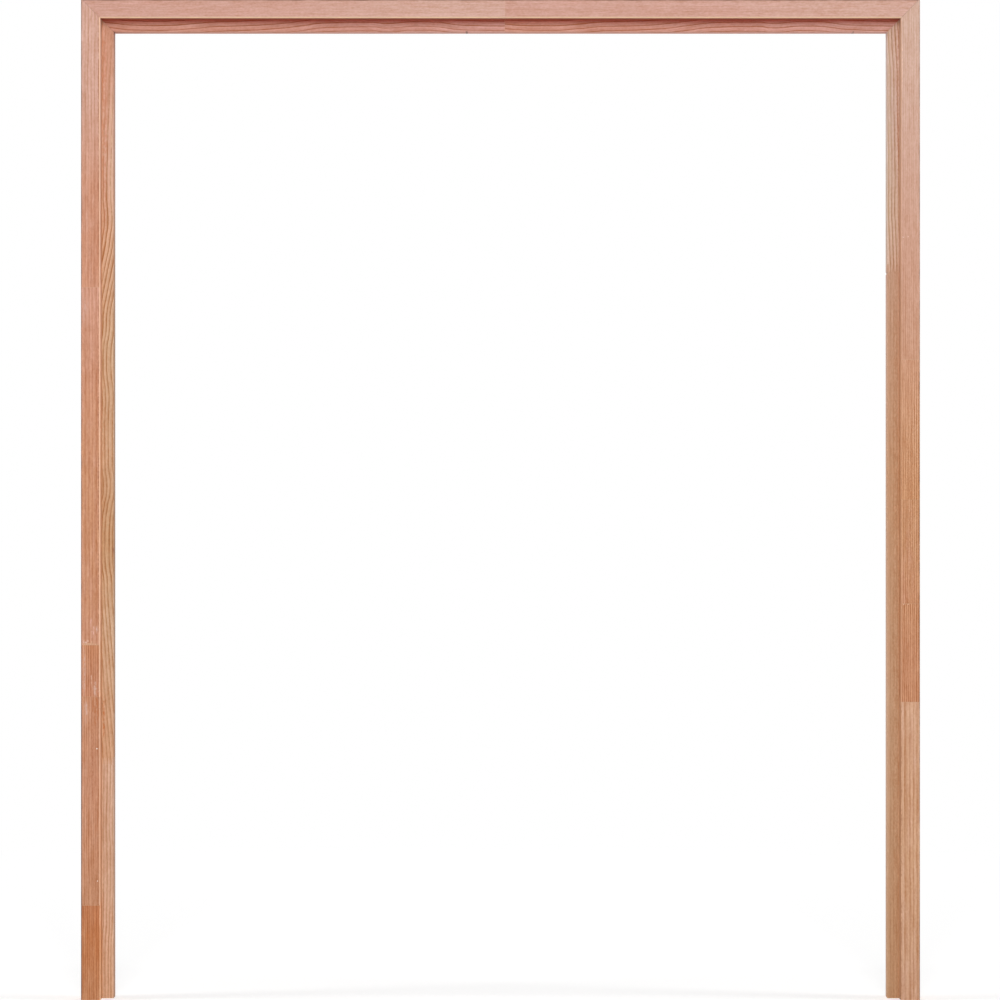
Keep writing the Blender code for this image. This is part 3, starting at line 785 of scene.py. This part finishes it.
bpy.ops.object.select_all(action="DESELECT")
bpy.ops.mesh.primitive_plane_add(size=FLOOR_SIZE, location=(0.0, 0.0, 0.0))
floor = bpy.context.object
floor.name = "floor"
paint = bpy.data.materials.new("floor_paint")
paint.use_nodes = True
tree = paint.node_tree
tree.nodes.clear()
floor_place = object_place(tree)
away = floor_place.node("ShaderNodeVectorMath", {"operation": "LENGTH"}, {0: floor_place}, give="Value")
plain = away.node("ShaderNodeBsdfDiffuse", {}, {"Color": FLOOR_COLOUR})
glow = away.node("ShaderNodeEmission", {}, {"Color": WHITE, "Strength": FLOOR_GLOW})
bright = away.node("ShaderNodeEmission", {}, {"Color": WHITE, "Strength": 1.0})
shaded = away.node("ShaderNodeAddShader", {}, {0: plain, 1: glow})
far_off = away.beyond(SHADING_REACH, fade=SHADING_FADE)
lit = away.node("ShaderNodeMixShader", {}, {0: far_off, 1: shaded, 2: bright})
shown = away.node("ShaderNodeMixShader", {}, {0: looked_at(tree), 1: plain, 2: lit})
shown.node("ShaderNodeOutputMaterial", {}, {"Surface": shown})
floor.data.materials.append(paint)

world = bpy.data.worlds.new("studio")
bpy.context.scene.world = world
world.use_nodes = True
tree = world.node_tree
tree.nodes.clear()
dim = Strand(tree).node("ShaderNodeBackground", {}, {"Color": WHITE, "Strength": ROOM_LIGHT})
white = dim.node("ShaderNodeBackground", {}, {"Color": WHITE, "Strength": 1.0})
shown = dim.node("ShaderNodeMixShader", {}, {0: looked_at(tree), 1: dim, 2: white})
shown.node("ShaderNodeOutputWorld", {}, {"Surface": shown})

soft_panel("key_panel", (0.0, -14.0, 4.5), (0.0, 0.0, 1.5), wide=3.0, high=5.2, power=963.0)
soft_panel("right_panel", (8.0, -1.6, 3.0), (0.0, 0.0, 1.4), wide=2.4, high=2.0, power=280.0)
soft_panel("left_panel", (-8.0, -1.6, 3.0), (0.0, 0.0, 1.4), wide=2.4, high=2.0, power=280.0)
soft_panel("back_panel", (0.0, 9.0, 5.5), (0.0, 0.0, 1.2), wide=3.0, high=2.5, power=250.0)

camera = bpy.data.cameras.new("camera")
camera.sensor_width = SENSOR
camera.lens = SENSOR * CAMERA_AWAY / PICTURE_WIDTH
camera.clip_end = FAR_LIMIT
camera_object = bpy.data.objects.new("camera", camera)
camera_object.location = (CAMERA_ASIDE, FRONT - CAMERA_AWAY, CAMERA_LEVEL)
camera_object.rotation_euler = (math.pi / 2, 0.0, 0.0)
bpy.context.scene.collection.objects.link(camera_object)
bpy.context.scene.camera = camera_object
bpy.context.scene.view_settings.view_transform = "Standard"
